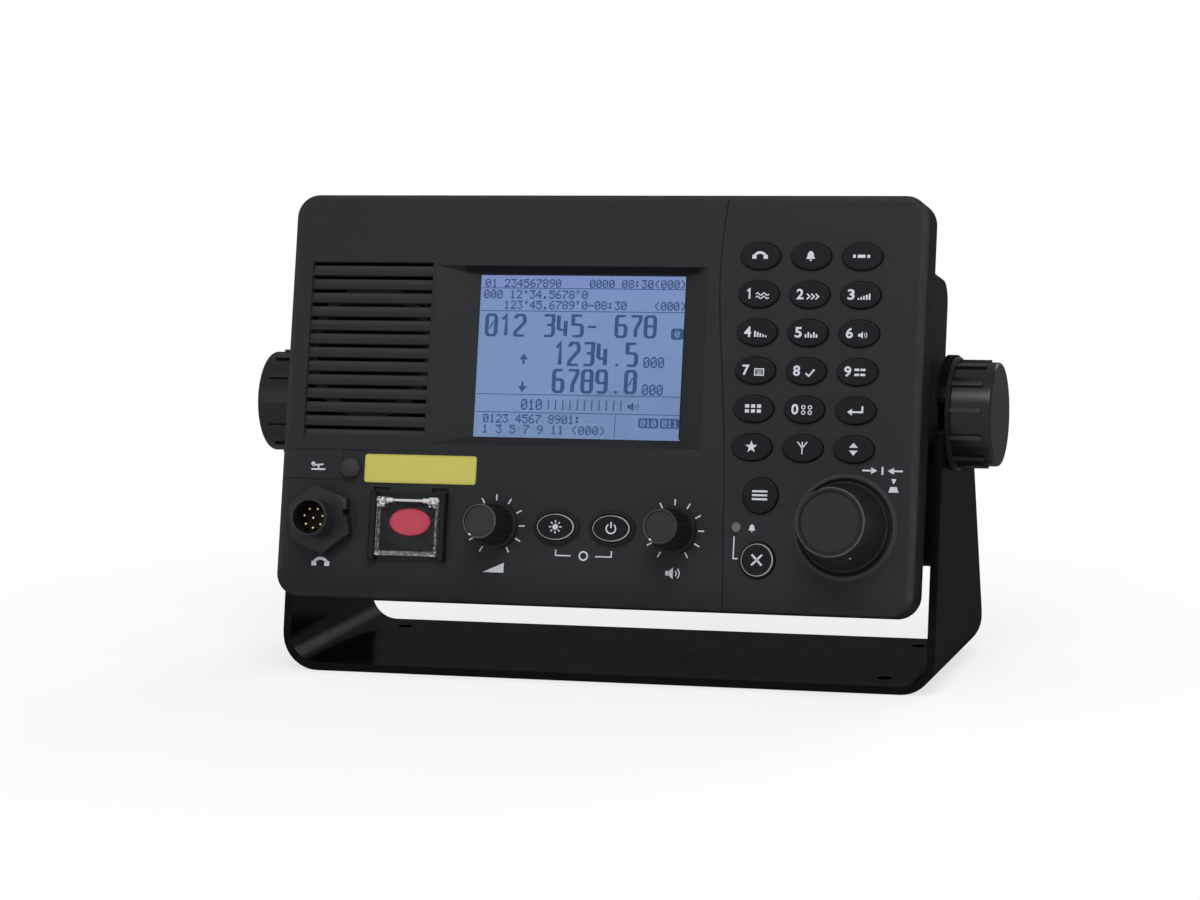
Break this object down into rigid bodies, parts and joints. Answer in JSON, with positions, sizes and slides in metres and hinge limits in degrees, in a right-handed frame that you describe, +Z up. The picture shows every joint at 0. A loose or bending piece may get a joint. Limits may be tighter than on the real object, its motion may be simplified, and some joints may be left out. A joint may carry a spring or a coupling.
{
  "type": "marine ssb radio",
  "caption": "Marine radio control head with louvred speaker grille, display, oval keypad, rotary knobs, guarded button and handset socket, tilting between clamp knobs on a U-shaped bracket.",
  "frame": {"origin": "centre of the four base holes, on the underside of the bracket", "axes": "+X to the viewer's right along the tilt axis, +Y to the back, +Z up, base flat on the ground plane"},
  "size_m": [0.2818, 0.1247, 0.1769],
  "materials": {
    "black_gloss_paint": "gloss black paint on steel",
    "charcoal_casing": "fine matt texture",
    "dark_housing": "semi-matt paint on a die-cast housing",
    "black_rubber": "matt",
    "stainless_steel": "plain",
    "insert_brass": "plain",
    "black_washer": "black finish on steel",
    "clear_window": "clear, flush behind the bezel",
    "display_glow": "lit blue-white display",
    "speaker_steel": "pressed steel",
    "speaker_paper": "black paper cone",
    "mat_rubber": "grey silicone",
    "board_green": "solder mask",
    "dark_socket": "black-plated metal",
    "socket_insert": "black insulator",
    "gold_contacts": "gold-plated",
    "yellow_plate": "yellow sheet, bare",
    "guard_black": "gloss black",
    "spring_steel": "spring wire",
    "clear_cover": "clear moulded cover",
    "red_key": "red translucent",
    "control_metal": "plain",
    "knob_black": "satin black with a matt cap",
    "lamp_lens": "grey lens",
    "clamp_plastic": "semi-gloss black",
    "key_rubber": "matt black"
  },
  "bodies": {
    "bracket": {"mounting_bracket": "black_gloss_paint"},
    "radio": {"front_casing": "charcoal_casing", "rear_housing": "dark_housing", "casing_gasket": "black_rubber", "casing_screws": "stainless_steel", "pivot_inserts": "insert_brass", "friction_pads": "black_rubber", "clamp_washers": "black_washer", "display_window": "clear_window", "display_panel": "display_glow", "speaker_frame": "speaker_steel", "speaker_cone": "speaker_paper", "keypad_mat": "mat_rubber", "control_board": "board_green", "main_board": "board_green", "handset_socket": "dark_socket", "handset_nut": "dark_socket", "handset_insert": "socket_insert", "handset_pins": "gold_contacts", "key_jack_plug": "black_rubber", "notice_plate": "yellow_plate", "distress_frame": "guard_black", "cover_hinge_pin": "stainless_steel", "cover_springs": "spring_steel", "potentiometers": "control_metal", "encoder_body": "control_metal", "alarm_lamp": "lamp_lens", "rear_sockets": "dark_socket"},
    "phone_key": {"phone_key": "key_rubber"},
    "calling_key": {"calling_key": "key_rubber"},
    "morse_key": {"morse_key": "key_rubber"},
    "number_key_1": {"number_key_1": "key_rubber"},
    "number_key_2": {"number_key_2": "key_rubber"},
    "number_key_3": {"number_key_3": "key_rubber"},
    "number_key_4": {"number_key_4": "key_rubber"},
    "number_key_5": {"number_key_5": "key_rubber"},
    "number_key_6": {"number_key_6": "key_rubber"},
    "number_key_7": {"number_key_7": "key_rubber"},
    "number_key_8": {"number_key_8": "key_rubber"},
    "number_key_9": {"number_key_9": "key_rubber"},
    "function_key": {"function_key": "key_rubber"},
    "number_key_0": {"number_key_0": "key_rubber"},
    "enter_key": {"enter_key": "key_rubber"},
    "user_key": {"user_key": "key_rubber"},
    "tuner_key": {"tuner_key": "key_rubber"},
    "channel_key": {"channel_key": "key_rubber"},
    "dimmer_key": {"dimmer_key": "key_rubber"},
    "power_key": {"power_key": "key_rubber"},
    "menu_key": {"menu_key": "key_rubber"},
    "cancel_key": {"cancel_key": "key_rubber"},
    "distress_button": {"distress_button": "red_key"},
    "distress_cover": {"distress_cover": "clear_cover"},
    "gain_knob": {"gain_knob": "knob_black"},
    "volume_knob": {"volume_knob": "knob_black"},
    "encoder_shaft": {"encoder_shaft": "stainless_steel"},
    "encoder_knob": {"encoder_knob": "knob_black"},
    "clamp_left": {"clamp_knob_left": "clamp_plastic", "clamp_stud_left": "stainless_steel"},
    "clamp_right": {"clamp_knob_right": "clamp_plastic", "clamp_stud_right": "stainless_steel"}
  },
  "joints": [
    {"name": "radio_tilt", "type": "hinge", "parent": "bracket", "child": "radio", "pos_m": [0, -0.0036, 0.0963], "axis": [1, 0, 0], "range_deg": [-30, 45]},
    {"name": "phone_key_press", "type": "slide", "parent": "radio", "child": "phone_key", "axis": [0, 0.9703, -0.2419], "range_m": [0, 0.0008], "stiffness_N_per_m": 500, "springref_m": -0.0002},
    {"name": "calling_key_press", "type": "slide", "parent": "radio", "child": "calling_key", "axis": [0, 0.9703, -0.2419], "range_m": [0, 0.0008], "stiffness_N_per_m": 500, "springref_m": -0.0002},
    {"name": "morse_key_press", "type": "slide", "parent": "radio", "child": "morse_key", "axis": [0, 0.9703, -0.2419], "range_m": [0, 0.0008], "stiffness_N_per_m": 500, "springref_m": -0.0002},
    {"name": "number_key_1_press", "type": "slide", "parent": "radio", "child": "number_key_1", "axis": [0, 0.9703, -0.2419], "range_m": [0, 0.0008], "stiffness_N_per_m": 500, "springref_m": -0.0002},
    {"name": "number_key_2_press", "type": "slide", "parent": "radio", "child": "number_key_2", "axis": [0, 0.9703, -0.2419], "range_m": [0, 0.0008], "stiffness_N_per_m": 500, "springref_m": -0.0002},
    {"name": "number_key_3_press", "type": "slide", "parent": "radio", "child": "number_key_3", "axis": [0, 0.9703, -0.2419], "range_m": [0, 0.0008], "stiffness_N_per_m": 500, "springref_m": -0.0002},
    {"name": "number_key_4_press", "type": "slide", "parent": "radio", "child": "number_key_4", "axis": [0, 0.9703, -0.2419], "range_m": [0, 0.0008], "stiffness_N_per_m": 500, "springref_m": -0.0002},
    {"name": "number_key_5_press", "type": "slide", "parent": "radio", "child": "number_key_5", "axis": [0, 0.9703, -0.2419], "range_m": [0, 0.0008], "stiffness_N_per_m": 500, "springref_m": -0.0002},
    {"name": "number_key_6_press", "type": "slide", "parent": "radio", "child": "number_key_6", "axis": [0, 0.9703, -0.2419], "range_m": [0, 0.0008], "stiffness_N_per_m": 500, "springref_m": -0.0002},
    {"name": "number_key_7_press", "type": "slide", "parent": "radio", "child": "number_key_7", "axis": [0, 0.9703, -0.2419], "range_m": [0, 0.0008], "stiffness_N_per_m": 500, "springref_m": -0.0002},
    {"name": "number_key_8_press", "type": "slide", "parent": "radio", "child": "number_key_8", "axis": [0, 0.9703, -0.2419], "range_m": [0, 0.0008], "stiffness_N_per_m": 500, "springref_m": -0.0002},
    {"name": "number_key_9_press", "type": "slide", "parent": "radio", "child": "number_key_9", "axis": [0, 0.9703, -0.2419], "range_m": [0, 0.0008], "stiffness_N_per_m": 500, "springref_m": -0.0002},
    {"name": "function_key_press", "type": "slide", "parent": "radio", "child": "function_key", "axis": [0, 0.9703, -0.2419], "range_m": [0, 0.0008], "stiffness_N_per_m": 500, "springref_m": -0.0002},
    {"name": "number_key_0_press", "type": "slide", "parent": "radio", "child": "number_key_0", "axis": [0, 0.9703, -0.2419], "range_m": [0, 0.0008], "stiffness_N_per_m": 500, "springref_m": -0.0002},
    {"name": "enter_key_press", "type": "slide", "parent": "radio", "child": "enter_key", "axis": [0, 0.9703, -0.2419], "range_m": [0, 0.0008], "stiffness_N_per_m": 500, "springref_m": -0.0002},
    {"name": "user_key_press", "type": "slide", "parent": "radio", "child": "user_key", "axis": [0, 0.9703, -0.2419], "range_m": [0, 0.0008], "stiffness_N_per_m": 500, "springref_m": -0.0002},
    {"name": "tuner_key_press", "type": "slide", "parent": "radio", "child": "tuner_key", "axis": [0, 0.9703, -0.2419], "range_m": [0, 0.0008], "stiffness_N_per_m": 500, "springref_m": -0.0002},
    {"name": "channel_key_press", "type": "slide", "parent": "radio", "child": "channel_key", "axis": [0, 0.9703, -0.2419], "range_m": [0, 0.0008], "stiffness_N_per_m": 500, "springref_m": -0.0002},
    {"name": "dimmer_key_press", "type": "slide", "parent": "radio", "child": "dimmer_key", "axis": [0, 0.9703, -0.2419], "range_m": [0, 0.0008], "stiffness_N_per_m": 500, "springref_m": -0.0002},
    {"name": "power_key_press", "type": "slide", "parent": "radio", "child": "power_key", "axis": [0, 0.9703, -0.2419], "range_m": [0, 0.0008], "stiffness_N_per_m": 500, "springref_m": -0.0002},
    {"name": "menu_key_press", "type": "slide", "parent": "radio", "child": "menu_key", "axis": [0, 0.9703, -0.2419], "range_m": [0, 0.0008], "stiffness_N_per_m": 500, "springref_m": -0.0002},
    {"name": "cancel_key_press", "type": "slide", "parent": "radio", "child": "cancel_key", "axis": [0, 0.9703, -0.2419], "range_m": [0, 0.0008], "stiffness_N_per_m": 500, "springref_m": -0.0002},
    {"name": "distress_button_press", "type": "slide", "parent": "radio", "child": "distress_button", "axis": [0, 0.9703, -0.2419], "range_m": [0, 0.0008], "stiffness_N_per_m": 500, "springref_m": -0.0002},
    {"name": "distress_cover_lift", "type": "hinge", "parent": "radio", "child": "distress_cover", "pos_m": [-0.0685, -0.05591, 0.06755], "axis": [-1, 0, 0], "range_deg": [0, 110], "stiffness_Nm_per_rad": 0.003, "springref_deg": -17.19},
    {"name": "gain_knob_turn", "type": "hinge", "parent": "radio", "child": "gain_knob", "pos_m": [-0.0352, -0.0656, 0.06177], "axis": [0, 0.9703, -0.2419], "range_deg": [-150, 150]},
    {"name": "volume_knob_turn", "type": "hinge", "parent": "radio", "child": "volume_knob", "pos_m": [0.0322, -0.0656, 0.06177], "axis": [0, 0.9703, -0.2419], "range_deg": [-150, 150]},
    {"name": "tuning_turn", "type": "hinge", "parent": "radio", "child": "encoder_shaft", "pos_m": [0.0948, -0.06492, 0.06449], "axis": [0, 0.9703, -0.2419], "continuous": true},
    {"name": "tuning_push", "type": "slide", "parent": "encoder_shaft", "child": "encoder_knob", "axis": [0, 0.9703, -0.2419], "range_m": [0, 0.0006], "stiffness_N_per_m": 1500, "springref_m": -0.0004},
    {"name": "clamp_left_turn", "type": "hinge", "parent": "radio", "child": "clamp_left", "pos_m": [-0.13, -0.0036, 0.0963], "axis": [1, 0, 0], "continuous": true},
    {"name": "clamp_right_turn", "type": "hinge", "parent": "radio", "child": "clamp_right", "pos_m": [0.13, -0.0036, 0.0963], "axis": [1, 0, 0], "continuous": true}
  ]
}
